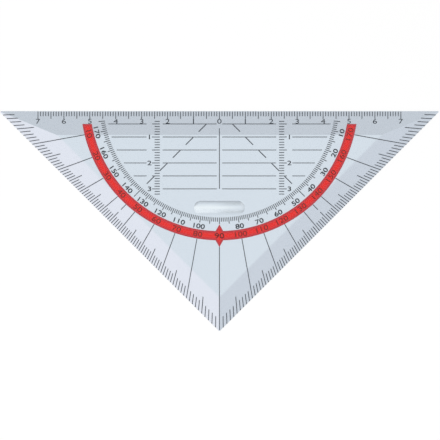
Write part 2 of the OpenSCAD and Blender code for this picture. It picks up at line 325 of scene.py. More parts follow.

# %% [markdown]
# The finger grip is a lens. Its look is painted: a painted highlight as a bright streak along its
# middle, which fades to its right between two stripes of painted shade, and a rim of painted
# shade where its skin leans steeply towards the long edge. Streak and shades are painted on the
# underside, where they sit as deep as they look, and the dark rim on the grip's own skin, by the
# direction that the skin leans. The crown magnifies what lies below it, so everything is painted
# that much smaller than it looks.

# %% Tones of the grip: painted highlight and shade
CROWN_ZOOM = 1.27
# Each stripe: its tone, how far its middle looks to lie from the grip's middle, the half widths
# within which it is full and beyond which it is gone, and where along X it is gone and full.
# The first three stripes are a painted highlight, the last two painted shade.
PAINTED_GRIP_STRIPES = [
    ("cfdee9", -1.3 * MM, 0.5 * MM, 1.3 * MM, 1 * MM, -6 * MM),
    ("d2e1eb", 0.2 * MM, 0.5 * MM, 1.6 * MM, 4.5 * MM, -4 * MM),
    ("e4f2f9", 0, 0.05 * MM, 1.1 * MM, 12 * MM, -2 * MM),
    ("a6b4bf", 1.6 * MM, 0.1 * MM, 1.1 * MM, -3 * MM, 7 * MM),
    ("a4b2bd", -1.55 * MM, 0.1 * MM, 1 * MM, -3 * MM, 5 * MM),
]
# Radii below the round ends at which the stripes are gone and full.
STRIPE_ENDS = (2.3 * MM, 1.95 * MM)
# The grey of the painted shade on the grip's rim.
PAINTED_RIM_SHADE = "84878c"
# The dark rim of painted shade: the direction to which the skin leans, the lean at which it
# starts and at which it is full, and its strength.
PAINTED_SHADE_SIDES = [
    (Vector((0, 1, 0)), 0.28, 0.6, 1),
    (Vector((-0.6, 0.8, 0)), 0.3, 0.58, 0.85),
    (Vector((-0.3, -0.95, 0)), 0.3, 0.75, 0.35),
    (Vector((1, 0, 0)), 0.2, 0.6, 0.35),
]

print("Stripes:", len(PAINTED_GRIP_STRIPES), "dark sides:", len(PAINTED_SHADE_SIDES))

# %% [markdown]
# A stripe is full near its own middle line and fades to both sides of it, along X and towards
# the grip's round ends. The three shares are multiplied. To measure from the round ends, the
# place is folded into one quarter of the grip and the straight part is taken off.

# %% Painted stripes of light and shade below the grip
def grip_painted_stripes(tree, colour):
    """The colour given, under the painted stripes of light and shade below the grip."""
    place = add_node(tree, "ShaderNodeTexCoord").outputs["Object"]
    offset = add_node(tree, "ShaderNodeVectorMath", {0: place, 1: (0, GRIP_Y, 0)}, operation="SUBTRACT")
    part = add_node(tree, "ShaderNodeSeparateXYZ", {0: offset.outputs[0]}).outputs
    folded = add_node(tree, "ShaderNodeVectorMath", {0: offset.outputs[0]}, operation="ABSOLUTE")
    straight = ((GRIP_L - GRIP_W) / 2, 0, 0)
    beyond = add_node(tree, "ShaderNodeVectorMath", {0: folded.outputs[0], 1: straight}, operation="SUBTRACT")
    beyond = add_node(tree, "ShaderNodeVectorMath", {0: beyond.outputs[0], 1: (0, 0, 0)}, operation="MAXIMUM")
    radius = add_node(tree, "ShaderNodeVectorMath", {0: beyond.outputs[0]}, operation="LENGTH")
    for tone, middle, core, edge, gone, full in PAINTED_GRIP_STRIPES:
        side = add_node(tree, "ShaderNodeMath", {0: part["Y"], 1: CROWN_ZOOM, 2: -middle},
                        operation="MULTIPLY_ADD")
        far = add_node(tree, "ShaderNodeMath", {0: side.outputs[0]}, operation="ABSOLUTE")
        share = 1
        for value, none, all_of_it in ((far.outputs[0], edge, core), (part["X"], gone, full),
                                       (radius.outputs["Value"], *STRIPE_ENDS)):
            within = add_node(tree, "ShaderNodeMapRange", {
                "Value": value, "From Min": none, "From Max": all_of_it},
                interpolation_type="SMOOTHSTEP")
            share = add_node(tree, "ShaderNodeMath", {0: share, 1: within.outputs[0]},
                             operation="MULTIPLY").outputs[0]
        colour = add_node(tree, "ShaderNodeMix", {
            "Factor": share, 6: colour, 7: to_linear(tone)}, data_type="RGBA").outputs[2]
    return colour


print("Grip:", round(GRIP_L / MM, 1), "x", round(GRIP_W / MM, 1), "mm")

# %% [markdown]
# The skin's normal says how far it leans and to which side. The strongest of the dark sides
# decides how much of the rim's grey, a painted shade, is mixed into the clear tint.

# %% Painted shade on the grip's rim, and both finishes
def grip_painted_rim_shade(tree):
    """The colour of the grip's skin, with painted shade where it leans towards one of the dark sides."""
    normal = add_node(tree, "ShaderNodeNewGeometry").outputs["Normal"]
    darkest = 0
    for direction, start, full, strength in PAINTED_SHADE_SIDES:
        lean = add_node(tree, "ShaderNodeVectorMath", {0: normal, 1: direction}, operation="DOT_PRODUCT")
        dark = add_node(tree, "ShaderNodeMapRange", {
            "Value": lean.outputs["Value"], "From Min": start, "From Max": full, "To Max": strength},
            interpolation_type="SMOOTHSTEP")
        darkest = add_node(tree, "ShaderNodeMath", {0: darkest, 1: dark.outputs[0]},
                           operation="MAXIMUM").outputs[0]
    mix = add_node(tree, "ShaderNodeMix", {
        "Factor": darkest, 6: to_linear(POLISHED_TINT), 7: to_linear(PAINTED_RIM_SHADE)}, data_type="RGBA")
    return mix.outputs[2]


# The underside carries the bevels' painted light and shade and the grip's painted stripes of light and shade.
underside = clear_acrylic("clear acrylic, underside with painted light and shade", lambda tree: grip_painted_stripes(tree, painted_bevel_tones(tree)))
grip_skin = clear_acrylic("clear acrylic, grip with painted rim shade", grip_painted_rim_shade)
print("Made", underside.name, "and", grip_skin.name)

# %% [markdown]
# ## The plate
# The real plate is one injection moulding: flat in the middle, with three bevels that slope down
# to a thinner rim, and a raised finger grip. A clear body shows every flaw of its mesh, because
# light bends at each face. So its mesh is laid out by rule: a section swept round the outline as
# a stack of closed rings, and quads from each ring to the next. A Boolean or a bevel modifier
# could make the same form, but would leave slivers that glitter in clear plastic.
#
# Geometry Nodes follow such a rule well. The tree starts from a grid, one row for each point of
# the section. Each point of the grid finds its corner of the outline and its step round that
# corner, moves in from the sharp corner by the section's inset, and out again by the radius of
# the rounding.

# %% A grid of rings for the sweep
def grid_of_rings(tree, given, section):
    """A grid with a row for each point of the section, and each point's row, corner and step."""
    corners = add_node(tree, "GeometryNodeAttributeDomainSize", {"Geometry": given["Outline"]}).outputs[0]
    rows = add_node(tree, "GeometryNodeAttributeDomainSize", {"Geometry": section}).outputs[0]
    at_corner = add_node(tree, "FunctionNodeIntegerMath", {0: given["Corner steps"], 1: 1}).outputs[0]
    in_ring = add_node(tree, "FunctionNodeIntegerMath", {0: corners, 1: at_corner, 2: 1},
                       operation="MULTIPLY_ADD").outputs[0]
    grid = add_node(tree, "GeometryNodeMeshGrid", {"Vertices X": rows, "Vertices Y": in_ring})
    index = add_node(tree, "GeometryNodeInputIndex").outputs[0]
    row = add_node(tree, "FunctionNodeIntegerMath", {0: index, 1: in_ring}, operation="DIVIDE_FLOOR")
    place = add_node(tree, "FunctionNodeIntegerMath", {0: index, 1: in_ring}, operation="MODULO")
    turned = add_node(tree, "FunctionNodeIntegerMath", {0: place.outputs[0], 1: at_corner},
                      operation="DIVIDE_FLOOR")
    corner = add_node(tree, "FunctionNodeIntegerMath", {0: turned.outputs[0], 1: corners},
                      operation="MODULO")
    step = add_node(tree, "FunctionNodeIntegerMath", {0: place.outputs[0], 1: at_corner},
                    operation="MODULO")
    return grid.outputs["Mesh"], row.outputs[0], corner.outputs[0], step.outputs[0]


print("The grid of rings is ready")

# %% [markdown]
# The second half of the tree places the points. It reads the corner and the point of the section
# that belong to each, finds the centre of the rounding on the corner's middle line and goes out
# from there by the radius, in the direction of the step.

# %% A tree that places the rings
def sweep_tree():
    """A node group: a section swept round an outline, whose corners it rounds."""
    tree, given = new_tree("Section round an outline", Outline="Geometry", Section="Object",
                           Corner_steps="Int", Material="Material")
    outline = given["Outline"]
    section = add_node(tree, "GeometryNodeObjectInfo", {"Object": given["Section"]}).outputs["Geometry"]
    grid, row, corner, step = grid_of_rings(tree, given, section)
    read = {}
    for title, source, index in (("first", outline, corner), ("last", outline, corner),
                                 ("radius", section, row)):
        value = add_node(tree, "GeometryNodeInputNamedAttribute", {"Name": title}, data_type="FLOAT")
        read[title] = add_node(tree, "GeometryNodeSampleIndex", {
            "Geometry": source, "Value": value.outputs["Attribute"], "Index": index},
            data_type="FLOAT").outputs[0]
    for title, source, index in (("sharp corner", outline, corner), ("section", section, row)):
        place = add_node(tree, "GeometryNodeInputPosition")
        read[title] = add_node(tree, "GeometryNodeSampleIndex", {
            "Geometry": source, "Value": place.outputs[0], "Index": index},
            data_type="FLOAT_VECTOR").outputs[0]
    spot = add_node(tree, "ShaderNodeSeparateXYZ", {0: read["section"]}).outputs

    share = add_node(tree, "ShaderNodeMath", {0: step, 1: given["Corner steps"]}, operation="DIVIDE")
    directions = []
    for turn in (0.5, share.outputs[0]):
        angle = add_node(tree, "ShaderNodeMix", {"Factor": turn, 2: read["first"], 3: read["last"]})
        cosine = add_node(tree, "ShaderNodeMath", {0: angle.outputs[0]}, operation="COSINE")
        sine = add_node(tree, "ShaderNodeMath", {0: angle.outputs[0]}, operation="SINE")
        directions.append(add_node(tree, "ShaderNodeCombineXYZ", {
            "X": cosine.outputs[0], "Y": sine.outputs[0]}).outputs[0])
    opening = add_node(tree, "ShaderNodeMath", {0: read["last"], 1: read["first"]}, operation="SUBTRACT")
    half = add_node(tree, "ShaderNodeMath", {0: opening.outputs[0], 1: 0.5}, operation="MULTIPLY")
    slant = add_node(tree, "ShaderNodeMath", {0: half.outputs[0]}, operation="COSINE")
    inset = add_node(tree, "ShaderNodeMath", {0: spot["X"], 1: read["radius"]})
    reach = add_node(tree, "ShaderNodeMath", {0: inset.outputs[0], 1: slant.outputs[0]}, operation="DIVIDE")
    inwards = add_node(tree, "ShaderNodeVectorMath", {0: directions[0], "Scale": reach.outputs[0]},
                       operation="SCALE")
    centre = add_node(tree, "ShaderNodeVectorMath", {0: read["sharp corner"], 1: inwards.outputs[0]},
                      operation="SUBTRACT")
    outwards = add_node(tree, "ShaderNodeVectorMath", {0: directions[1], "Scale": read["radius"]},
                        operation="SCALE")
    on_ring = add_node(tree, "ShaderNodeVectorMath", {0: centre.outputs[0], 1: outwards.outputs[0]})
    height = add_node(tree, "ShaderNodeCombineXYZ", {"Z": spot["Z"]})
    place = add_node(tree, "ShaderNodeVectorMath", {0: on_ring.outputs[0], 1: height.outputs[0]})

    shaped = add_node(tree, "GeometryNodeSetPosition", {"Geometry": grid, "Position": place.outputs[0]})
    closed = add_node(tree, "GeometryNodeMergeByDistance", {
        "Geometry": shaped.outputs[0], "Distance": SAME})
    real = add_node(tree, "GeometryNodeRealizeInstances", {"Geometry": closed.outputs[0]})
    dressed = add_node(tree, "GeometryNodeSetMaterial", {
        "Geometry": real.outputs[0], "Material": given["Material"]})
    add_node(tree, "NodeGroupOutput", {0: dressed.outputs[0]})
    return tree


section_round_outline = sweep_tree()
print("Nodes in the tree:", len(section_round_outline.nodes))

# %% [markdown]
# A section is an object of its own that the tree looks up, and the outline is the carrier. Both
# are only points with values, and both are gone once the mesh is made.

# %% Run the sweep
CORNER_STEPS = 12


def sweep(name, corners, section, radii, material):
    """A mesh of the section, its points (inset, height), swept round the outline of the corners."""
    profile = make_object(name + "_section", point_mesh(
        name + "_section", [(p.x, 0, p.y) for p in section], radius=("FLOAT", radii)))
    outline = point_mesh(
        name + "_outline", [place for place, _, _ in corners],
        first=("FLOAT", [math.radians(first) for _, first, _ in corners]),
        last=("FLOAT", [math.radians(last) for _, _, last in corners]))
    mesh = grow(name, outline, section_round_outline,
                Section=profile, Corner_steps=CORNER_STEPS, Material=material)
    bpy.data.objects.remove(profile)
    print(f"{name}: {len(section)} rings, {len(mesh.polygons)} faces")
    return mesh


# %% [markdown]
# The rim's section has three turns: the edge of the underside, the top of the rim, and the
# shoulder where the bevel meets the flat. Moulded plastic has no dead sharp turn, so each is a
# short curve. A quadratic curve through a corner needs only the corner and how far the curve
# reaches along both sides, which makes it the handiest of roundings.
#
# Where two bevels meet there is a ridge. On the real plate it is crisp at the corner and melts
# into a soft bend where it reaches the flat, so the rings' corners get rounder on their way in.

# %% The plate's rim and bevels
def soft_corner(before, corner, after, reach, steps):
    """Points of a round turn at corner, which starts and ends at a distance of reach from it."""
    start = corner + (before - corner).normalized() * reach
    end = corner + (after - corner).normalized() * reach
    shares = [i / steps for i in range(steps + 1)]
    return [start.lerp(corner, t).lerp(corner.lerp(end, t), t) for t in shares]


# Each turn: how far it reaches along both sides, and its number of steps.
UNDER_EDGE = (0.06 * MM, 3)
RIM_EDGE = (0.15 * MM, 5)
SHOULDER = (0.8 * MM, 8)
RIDGE_R = 3 * MM

foot = Vector((0, 0))
rim = Vector((0, RIM_T))
shoulder = Vector((BEVEL_W, plate_t))
inwards = Vector((BEVEL_W, 0))
rim_section = soft_corner(foot + inwards, foot, rim, *UNDER_EDGE)
rim_section += soft_corner(foot, rim, shoulder, *RIM_EDGE)
rim_section += soft_corner(rim, shoulder, shoulder + inwards, *SHOULDER)
ridge_radii = [CORNER_R + (RIDGE_R - CORNER_R) * min(p.x / BEVEL_W, 1) for p in rim_section]
rim_mesh = sweep("plate_rim", PLATE_CORNERS, rim_section, ridge_radii, polished)

# %% [markdown]
# The finger grip is a crowned bar with round ends. Its rings are stadiums, which are rectangles
# whose corners are rounded by half their width, so the same tree sweeps it. A small fillet at its
# foot keeps it one with the plate, as in the mould, and from there each ring is smaller and
# higher along the crown's circle.

# %% The finger grip
GRIP_FILLET = (0.1 * MM, 4)
CROWN_STEPS = 9
CROWN_TIP = 0.03 * MM
crown_r = (grip_side ** 2 + GRIP_H ** 2) / (2 * GRIP_H)
crown_edge = math.asin(grip_side / crown_r)


def crown_point(angle):
    """Distance from the grip's middle line, and height, at an angle on the crown's circle."""
    drop = crown_r * (1 - math.cos(angle))
    return Vector((crown_r * math.sin(angle), plate_high.z - drop))


grip_foot = Vector((grip_side, plate_t))
crown = [crown_point(crown_edge * (1 - i / CROWN_STEPS)) for i in range(1, CROWN_STEPS)]
crown.append(Vector((CROWN_TIP, plate_high.z)))
grip_section = soft_corner(grip_foot + inwards, grip_foot, crown[0], *GRIP_FILLET) + crown
grip_insets = [Vector((grip_side - p.x, p.y)) for p in grip_section]
grip_mesh = sweep("grip", GRIP_CORNERS, grip_insets, [p.x for p in grip_section], grip_skin)

# %% [markdown]
# Rim and grip are open skins. Closing them makes one solid: a large face for the underside, a
# sliver on top of the crown, and between the shoulder and the grip's foot a flat sheet of
# triangles.

# %% Join the skins into one closed body
plate_body = bmesh.new()
plate_body.from_mesh(rim_mesh)
plate_body.from_mesh(grip_mesh)
open_edges = [e for e in plate_body.edges if e.is_boundary]
on_flat = [e for e in open_edges if abs(e.verts[0].co.z - plate_t) < SAME]
elsewhere = [e for e in open_edges if e not in on_flat]
bmesh.ops.holes_fill(plate_body, edges=elsewhere, sides=0)
bmesh.ops.triangle_fill(plate_body, edges=on_flat, use_beauty=True, normal=(0, 0, 1))
bmesh.ops.recalc_face_normals(plate_body, faces=plate_body.faces)
still_open = [e for e in plate_body.edges if not e.is_manifold]
print(f"Volume {plate_body.calc_volume() / MM ** 3:.0f} mm3, open edges {len(still_open)}")

# %% [markdown]
# Smooth shading averages the normals at each vertex. On a flat face beside a curved strip that
# average would tilt and the flat would look dented. The Weighted Normal modifier lets the large
# faces decide, so flats stay flat and only the narrow strips look round.

# %% Make the plate an object
FINISHES = (polished, underside, grip_skin)
DOWNWARDS = -0.99
FLATS_DECIDE = 100

for face in plate_body.faces:
    face.smooth = True
    if face.calc_center_median().z > plate_t + SAME:
        face.material_index = FINISHES.index(grip_skin)
    elif face.normal.z < DOWNWARDS:
        face.material_index = FINISHES.index(underside)
    else:
        face.material_index = FINISHES.index(polished)
plate_mesh = bpy.data.meshes.new("clear_plate")
plate_body.to_mesh(plate_mesh)
plate_body.free()
for material in FINISHES:
    plate_mesh.materials.append(material)
clear_plate = make_object("clear_plate", plate_mesh)
weights = clear_plate.modifiers.new("Flats decide", "WEIGHTED_NORMAL")
weights.weight = FLATS_DECIDE
print("Faces of the plate:", len(plate_mesh.polygons), "slots:", [m.name for m in plate_mesh.materials])

# %% [markdown]
# ## The inks
# The marks are hot-stamped grooves filled with ink. The ink lies against the plastic without
# air between, so it has no shine of its own: the only gloss is the plate's. It isn't a perfect
# black either. Pigment settles unevenly, which shows as a fine mottling, a few tenths of a
# millimetre across. Two colours mixed by a noise of that size make it.

# %% Stamped inks
MOTTLE = 0.4 * MM
INK_ROUGHNESS = 0.75


def mottled(tree, light, dark):
    """A colour that varies between two, as unevenly settled pigment does."""
    place = add_node(tree, "ShaderNodeTexCoord").outputs["Object"]
    noise = add_node(tree, "ShaderNodeTexNoise", {"Vector": place, "Scale": 1 / MOTTLE, "Detail": 2})
    mix = add_node(tree, "ShaderNodeMix", {
        "Factor": noise.outputs["Fac"], 6: to_linear(dark), 7: to_linear(light)}, data_type="RGBA")
    return mix.outputs[2]


def stamped_ink(name, tint):
    """Matte ink in the colour that tint gives in its tree."""
    material, tree = new_material(name)
    pigment = add_node(tree, "ShaderNodeBsdfPrincipled", {
        "Base Color": tint(tree), "Roughness": INK_ROUGHNESS, "Specular IOR Level": 0})
    add_node(tree, "ShaderNodeOutputMaterial", {"Surface": pigment.outputs[0]})
    return material


black_ink = stamped_ink("black stamping ink", lambda tree: mottled(tree, "2e3946", "1a222c"))
print("Made", black_ink.name)

# %% [markdown]
# Over a wide area such as the red band, ink also creeps to the walls of its groove while it is
# wet, and dries darker there. The band lies between two circles and ends level, and the index
# diamond crosses it, so the distance to the nearest wall follows from a few sizes.

# %% Distance to the wall of the red groove
RING_OFFSET = 3.74 * MM
BAND_W = 3.6 * MM
DIAMOND_W = 2.5 * MM
DIAMOND_H = 4.4 * MM
RED_EDGE = 1.5 * MM
RED_EDGE_TONE = "c0343e"

red_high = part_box("red_band")[1]
band_out = math.hypot(red_high.x, RING_OFFSET - red_high.y)
band_middle = band_out - BAND_W / 2
diamond_y = RING_OFFSET - band_middle


def wall_distance(tree):
    """Distance of a point of the red ink from the nearest wall of its groove."""
    place = add_node(tree, "ShaderNodeTexCoord").outputs["Object"]
    from_ring = add_node(tree, "ShaderNodeVectorMath", {0: place, 1: (0, RING_OFFSET, 0)},
                         operation="SUBTRACT")
    level = add_node(tree, "ShaderNodeVectorMath", {0: from_ring.outputs[0], 1: (1, 1, 0)},
                     operation="MULTIPLY")
    radius = add_node(tree, "ShaderNodeVectorMath", {0: level.outputs[0]}, operation="LENGTH")
    off_middle = add_node(tree, "ShaderNodeMath", {0: radius.outputs["Value"], 1: band_middle},
                          operation="SUBTRACT")
    across = add_node(tree, "ShaderNodeMath", {0: off_middle.outputs[0]}, operation="ABSOLUTE")
    in_band = add_node(tree, "ShaderNodeMath", {0: BAND_W / 2, 1: across.outputs[0]}, operation="SUBTRACT")
    part = add_node(tree, "ShaderNodeSeparateXYZ", {0: place}).outputs
    from_end = add_node(tree, "ShaderNodeMath", {0: red_high.y, 1: part["Y"]}, operation="SUBTRACT")
    band = add_node(tree, "ShaderNodeMath", {0: in_band.outputs[0], 1: from_end.outputs[0]},
                    operation="MINIMUM")

    folded = add_node(tree, "ShaderNodeVectorMath", {0: place, 1: (0, diamond_y, 0)}, operation="SUBTRACT")
    folded = add_node(tree, "ShaderNodeVectorMath", {0: folded.outputs[0]}, operation="ABSOLUTE")
    slope = Vector((1 / DIAMOND_W, 1 / DIAMOND_H, 0))
    share = add_node(tree, "ShaderNodeVectorMath", {0: folded.outputs[0], 1: slope}, operation="DOT_PRODUCT")
    inside = add_node(tree, "ShaderNodeMath", {0: 1, 1: share.outputs["Value"]}, operation="SUBTRACT")
    diamond = add_node(tree, "ShaderNodeMath", {0: inside.outputs[0], 1: 1 / slope.length},
                       operation="MULTIPLY")
    either = add_node(tree, "ShaderNodeMath", {0: band.outputs[0], 1: diamond.outputs[0]},
                      operation="MAXIMUM")
    return either.outputs[0]


print(f"Band out to {band_out / MM:.2f} mm")

# %% [markdown]
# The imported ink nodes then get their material, red for the band and black for the rest.

# %% Red ink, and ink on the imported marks
def edged_red(tree):
    """Mottled red that darkens towards the walls."""
    edge = add_node(tree, "ShaderNodeMapRange", {
        "Value": wall_distance(tree), "From Min": RED_EDGE, "From Max": 0}, interpolation_type="SMOOTHSTEP")
    mix = add_node(tree, "ShaderNodeMix", {
        "Factor": edge.outputs[0], 6: mottled(tree, "f8221b", "f21b14"), 7: to_linear(RED_EDGE_TONE)},
        data_type="RGBA")
    return mix.outputs[2]


red_ink = stamped_ink("red stamping ink", edged_red)
for name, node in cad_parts.items():
    for slot in node.material_slots:
        slot.material = red_ink if name == "red_band" else black_ink
print("Inked nodes:", len(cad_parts) - 1)

# %% [markdown]
# ## The figures
# The figures are printed with the marks: plain numbers in a wide, bold sans serif. They repeat by
# rule, along the ruler and round the ring, so Geometry Nodes set them. A few points carry the
# number and the turn of each figure as attributes. The tree goes through the points one by one,
# writes the number, fills its outline, gives it the thickness of the ink and sets it in place.
# Doing the same with text objects would mean one object for each figure. Blender's own font is
# light and narrow, so the tree also widens the figures and moves their outlines outwards along
# the curve's normals, which thickens each stroke by the same amount.

# %% The outline of one figure
# How high a digit of the font is, as a share of the size that the font is set in.
DIGIT_SHARE = 0.729


def bold_figure(tree, given, number):
    """The filled outline of a number, widened and made bold, with its middle at the origin."""
    word = add_node(tree, "FunctionNodeValueToString", {"Value": number}, data_type="INT")
    # The outline grows by the stroke gain at top and bottom, so it starts that much lower.
    thin = add_node(tree, "ShaderNodeMath", {
        0: given["Stroke gain"], 1: -2, 2: given["Height"]}, operation="MULTIPLY_ADD")
    size = add_node(tree, "ShaderNodeMath", {0: thin.outputs[0], 1: DIGIT_SHARE}, operation="DIVIDE")
    outline = add_node(tree, "GeometryNodeStringToCurves", {
        "String": word.outputs[0], "Size": size.outputs[0]})
    real = add_node(tree, "GeometryNodeRealizeInstances", {"Geometry": outline.outputs[0]})
    widths = add_node(tree, "ShaderNodeCombineXYZ", {"X": given["Widening"], "Y": 1, "Z": 1})
    wide = add_node(tree, "GeometryNodeTransform", {
        "Geometry": real.outputs[0], "Scale": widths.outputs[0]})
    fine = add_node(tree, "GeometryNodeResampleCurve", {"Curve": wide.outputs[0]}, mode="EVALUATED")
    level = add_node(tree, "GeometryNodeSetCurveNormal", {"Curve": fine.outputs[0]}, mode="Z_UP")
    normal = add_node(tree, "GeometryNodeInputNormal")
    push = add_node(tree, "ShaderNodeVectorMath", {
        0: normal.outputs["Normal"], "Scale": given["Stroke gain"]}, operation="SCALE")
    bold = add_node(tree, "GeometryNodeSetPosition", {
        "Geometry": level.outputs[0], "Offset": push.outputs[0]})
    flat = add_node(tree, "GeometryNodeFillCurve", {"Curve": bold.outputs[0]})
    box = add_node(tree, "GeometryNodeBoundBox", {"Geometry": flat.outputs[0]})
    middle = add_node(tree, "ShaderNodeMix", {
        "Factor": 0.5, 4: box.outputs["Min"], 5: box.outputs["Max"]}, data_type="VECTOR")
    back = add_node(tree, "ShaderNodeVectorMath", {0: middle.outputs[1], "Scale": -1}, operation="SCALE")
    centred = add_node(tree, "GeometryNodeTransform", {
        "Geometry": flat.outputs[0], "Translation": back.outputs[0]})
    return centred.outputs[0]


print("A figure's outline is ready")

# %% [markdown]
# The tree around it is a loop, a zone that runs once for each point. The flat figure is
# extruded and gets its own flipped copy as a floor, which closes it into a solid of ink.

# %% A tree that sets figures at points
def figure_tree():
    """A node group: figures of one height and thickness, centred on the points it gets."""
    tree, given = new_tree("Figures at points", Points="Geometry", Height="Float", Widening="Float",
                           Stroke_gain="Float", Ink_thickness="Float", Ink="Material")
    number = add_node(tree, "GeometryNodeInputNamedAttribute", {"Name": "figure"}, data_type="INT")
    turn = add_node(tree, "GeometryNodeInputNamedAttribute", {"Name": "turn"}, data_type="FLOAT")
    place = add_node(tree, "GeometryNodeInputPosition")

    each = tree.nodes.new("GeometryNodeForeachGeometryElementInput")
    done = tree.nodes.new("GeometryNodeForeachGeometryElementOutput")
    each.pair_with_output(done)
    for title, kind, value in (("Number", "INT", number.outputs["Attribute"]),
                               ("Turn", "FLOAT", turn.outputs["Attribute"]),
                               ("Place", "VECTOR", place.outputs["Position"])):
        done.input_items.new(kind, title)
        tree.links.new(value, each.inputs[title])
    tree.links.new(given["Points"], each.inputs["Geometry"])

    flat = bold_figure(tree, given, each.outputs["Number"])
    upwards = add_node(tree, "ShaderNodeCombineXYZ", {"Z": given["Ink thickness"]})
    raised = add_node(tree, "GeometryNodeExtrudeMesh", {
        "Mesh": flat, "Offset": upwards.outputs[0], "Individual": False})
    under = add_node(tree, "GeometryNodeFlipFaces", {"Mesh": flat})
    both = add_node(tree, "GeometryNodeJoinGeometry")
    tree.links.new(raised.outputs["Mesh"], both.inputs[0])
    tree.links.new(under.outputs[0], both.inputs[0])
    closed = add_node(tree, "GeometryNodeMergeByDistance", {
        "Geometry": both.outputs[0], "Distance": SAME})
    spin = add_node(tree, "FunctionNodeAxisAngleToRotation", {
        "Axis": (0, 0, 1), "Angle": each.outputs["Turn"]})
    placed = add_node(tree, "GeometryNodeTransform", {
        "Geometry": closed.outputs[0], "Rotation": spin.outputs[0],
        "Translation": each.outputs["Place"]})
    tree.links.new(placed.outputs[0], done.inputs["Geometry"])

    one_mesh = add_node(tree, "GeometryNodeRealizeInstances", {"Geometry": done.outputs[2]})
    inked = add_node(tree, "GeometryNodeSetMaterial", {
        "Geometry": one_mesh.outputs[0], "Material": given["Ink"]})
    add_node(tree, "NodeGroupOutput", {0: inked.outputs[0]})
    return tree


figures_at_points = figure_tree()
print("Nodes in the tree:", len(figures_at_points.nodes))

# %% [markdown]
# A row is a list of numbers, places and turns. On clear plastic the figures' ink starts a little
# higher than the ink of the marks and ends level with it.

# %% Set a row of figures
FIGURE_RISE = 0.03 * MM
FIGURE_LOW = ink_low.z + FIGURE_RISE


def set_figures(name, rows, style, low, high, ink):
    """An object with a figure for each row (number, x, y, turn), its ink between low and high.

    style is the figures' height, how much wider they are than the font's, and their stroke gain.
    """
    height, widening, gain = style
    points = point_mesh(name + "_points", [(x, y, low) for _, x, y, _ in rows],
                        figure=("INT", [row[0] for row in rows]),
                        turn=("FLOAT", [row[3] for row in rows]))
    mesh = grow(name, points, figures_at_points, Height=height, Widening=widening,
                Stroke_gain=gain, Ink_thickness=high - low, Ink=ink)
    print(f"{name}: {len(rows)} figures, {len(mesh.polygons)} faces")
    return make_object(name, mesh)


# %% [markdown]
# On the ruler the figures stand below the centimetre marks, counting outwards from zero. Beside
# the depth scales 1, 2 and 3 mark the centimetres of depth.

# %% Figures of the ruler and the depth scales
CENTIMETRE = 10 * MM
RULER_FIGURE_Y = -3.98 * MM
RULER_STYLE = (1.92 * MM, 1.44, 0.01 * MM)
DEPTH_FIGURE_X = 27 * MM
DEPTH_STYLE = (1.86 * MM, 1.44, 0.04 * MM)

ruler_rows = [(abs(i), i * CENTIMETRE, RULER_FIGURE_Y, 0) for i in range(-7, 8)]
depth_rows = [(i, side * DEPTH_FIGURE_X, -i * CENTIMETRE, 0) for i in (1, 2, 3) for side in (-1, 1)]
ruler_figures = set_figures("ruler_figures", ruler_rows, RULER_STYLE, FIGURE_LOW, ink_high.z, black_ink)
depth_figures = set_figures("depth_figures", depth_rows, DEPTH_STYLE, FIGURE_LOW, ink_high.z, black_ink)

# %% [markdown]
# The degree figures stand on rays that start at the zero mark, but at a fixed distance from the
# ring's own centre, which lies beyond the long edge. So each place is where a ray meets a
# circle. Every figure's top points to the ring's centre. The outer row stands on the red band.
# Its black is a thin film that the red shines through, so it looks maroon. Only the 90 on the
# diamond is almost black.

# %% Figures of the ring and the band
RING_FIGURE_R = 48.7 * MM
RING_STYLE = (1.97 * MM, 1.36, 0.07 * MM)
BAND_FIGURE_R = 51.8 * MM
BAND_STYLE = (2.05 * MM, 1.35, 0.03 * MM)
INDEX_STYLE = (2.05 * MM, 1.38, 0.015 * MM)
OVER_RED = 0.01 * MM
OVER_RED_T = 0.02 * MM

film_on_red = stamped_ink("thin black ink over red", lambda tree: mottled(tree, "8e1b17", "761310"))
dense_on_red = stamped_ink("dense black ink over red", lambda tree: mottled(tree, "2c0808", "1c0505"))


def ring_row(number, degrees, radius):
    """Number, place and turn of a figure on the ray at those degrees, counted from the left."""
    a = math.radians(degrees)
    reach = math.sqrt(radius ** 2 - (RING_OFFSET * math.cos(a)) ** 2) - RING_OFFSET * math.sin(a)
    x, y = -reach * math.cos(a), -reach * math.sin(a)
    return number, x, y, math.atan2(x, RING_OFFSET - y)


tens = [a for a in range(10, 180, 10) if a != 90]
ring_rows = [ring_row(180 - a, a, RING_FIGURE_R) for a in tens]
band_rows = [ring_row(a, a, BAND_FIGURE_R) for a in tens]
index_rows = [ring_row(90, 90, BAND_FIGURE_R)]
over_low = ink_high.z + OVER_RED
over_high = over_low + OVER_RED_T
ring_figures = set_figures("ring_figures", ring_rows, RING_STYLE, FIGURE_LOW, ink_high.z, black_ink)
band_figures = set_figures("band_figures", band_rows, BAND_STYLE, over_low, over_high, film_on_red)
index_figure = set_figures("index_figure", index_rows, INDEX_STYLE, over_low, over_high, dense_on_red)

# %% [markdown]
# ## Tell the frame what belongs to it
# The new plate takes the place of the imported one, whose grooves would leave faces of ink and
# plastic in one plane. The ink itself stays as packed, embedded in the new plate.

# %% Attach the pieces
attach(clear_plate, "root")
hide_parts("plate")
all_figures = (ruler_figures, depth_figures, ring_figures, band_figures, index_figure)
for figures in all_figures:
    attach(figures, "root")
print("Pieces attached:", 1 + len(all_figures))

# %% [markdown]
# ## The table
# The table is plain white paper. Rays that come straight from the camera, or by way of the
# plastic, meet a steady glow, and a matte part that the lamp and the room fill up to white. The
# matte part still takes the plate's soft shadow. Other rays meet ordinary matte white.

# %% White table
PURE_WHITE = "ffffff"
PAPER_WHITE = "f2f2f2"
